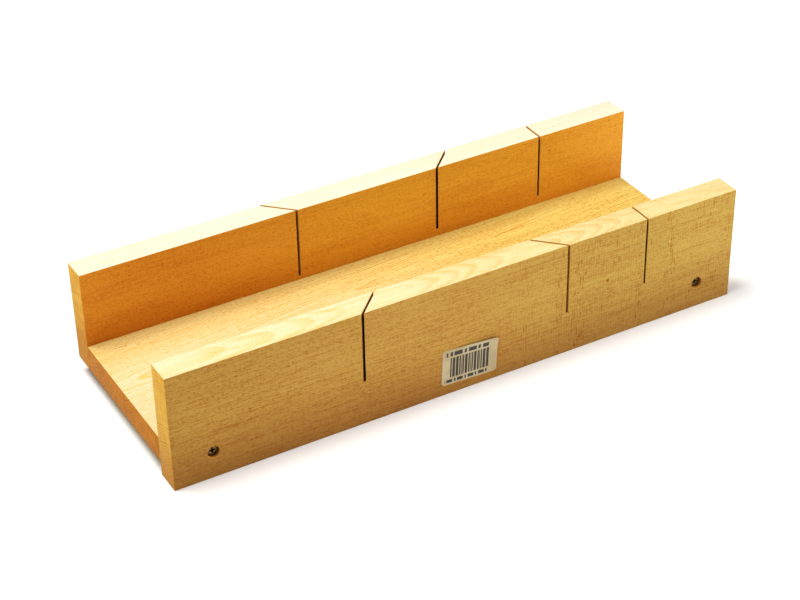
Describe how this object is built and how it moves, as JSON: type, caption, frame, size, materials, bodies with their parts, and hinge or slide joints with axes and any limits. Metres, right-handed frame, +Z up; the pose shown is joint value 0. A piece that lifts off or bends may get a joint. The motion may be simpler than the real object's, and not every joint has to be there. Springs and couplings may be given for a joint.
{
  "type": "mitre box",
  "caption": "Beech mitre box: a base board between two slotted fences, with mitre and square saw kerfs and a bench-hook lip.",
  "frame": {"origin": "middle of the base board's underside, where the box rests on the bench", "axes": "+X along the boards to the right, with the square kerf's end at +X; +Y away from the user, from the front fence to the rear one; +Z up"},
  "size_m": [0.4, 0.1421, 0.08],
  "materials": {
    "beech_base": "planed beech, waxed, satin",
    "beech_front": "planed beech, waxed, satin",
    "beech_rear": "planed beech, waxed, satin",
    "screw_steel": "dark phosphated steel, satin",
    "label_paper": "uncoated paper, matt"
  },
  "bodies": {
    "root": {"base_board": "beech_base", "front_fence": "beech_front", "rear_fence": "beech_rear", "screw_front_left": "screw_steel", "screw_front_right": "screw_steel", "screw_rear_left": "screw_steel", "screw_rear_right": "screw_steel", "label": "label_paper"}
  },
  "joints": []
}
